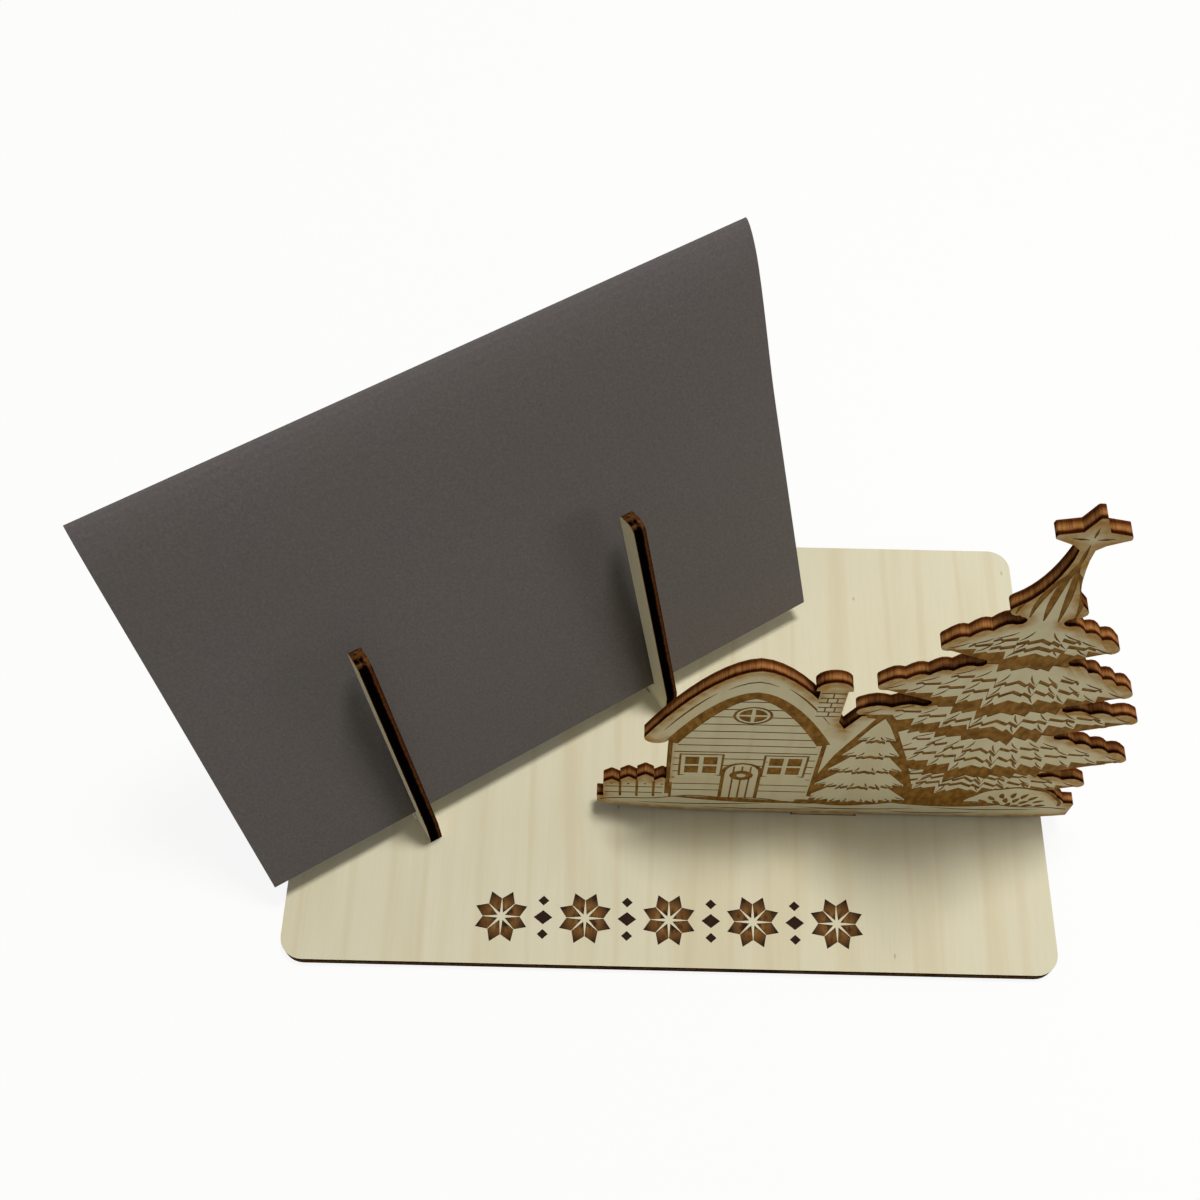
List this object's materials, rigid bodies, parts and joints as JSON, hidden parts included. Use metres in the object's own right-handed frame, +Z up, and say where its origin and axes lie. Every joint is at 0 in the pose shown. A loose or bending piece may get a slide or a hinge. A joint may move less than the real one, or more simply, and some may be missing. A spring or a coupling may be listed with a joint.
{
  "type": "gift card display stand",
  "caption": "Plywood desk stand with a base plate, slotted forks that hold a folded card leaning back, and an upright cut-out winter scene.",
  "frame": {"origin": "middle of the base plate's underside, on the table", "axes": "+X to the right along the plate's front edge, +Y to the back, +Z up"},
  "size_m": [0.2126, 0.1296, 0.1323],
  "materials": {
    "face_veneer": "raw pale poplar face ply, laser-burnt at cut edges and engraving",
    "core_veneer": "laser-burnt core ply seen at the cut edges",
    "grey_card": "matt uncoated dark grey card stock"
  },
  "bodies": {
    "stand": {"base_top_ply": "face_veneer", "base_core_ply": "core_veneer", "base_bottom_ply": "face_veneer", "left_fork_outer_ply": "face_veneer", "left_fork_core_ply": "core_veneer", "left_fork_inner_ply": "face_veneer", "right_fork_inner_ply": "face_veneer", "right_fork_core_ply": "core_veneer", "right_fork_outer_ply": "face_veneer"},
    "panel": {"panel_front_ply": "face_veneer", "panel_core_ply": "core_veneer", "panel_back_ply": "face_veneer"},
    "card": {"folded_card": "grey_card"}
  },
  "joints": [
    {"name": "panel_pull", "type": "slide", "parent": "stand", "child": "panel", "axis": [0, 0, 1], "range_m": [0, 0.03]},
    {"name": "card_lift", "type": "slide", "parent": "stand", "child": "card", "axis": [-0.2076, 0.3272, 0.9219], "range_m": [0, 0.08]}
  ]
}
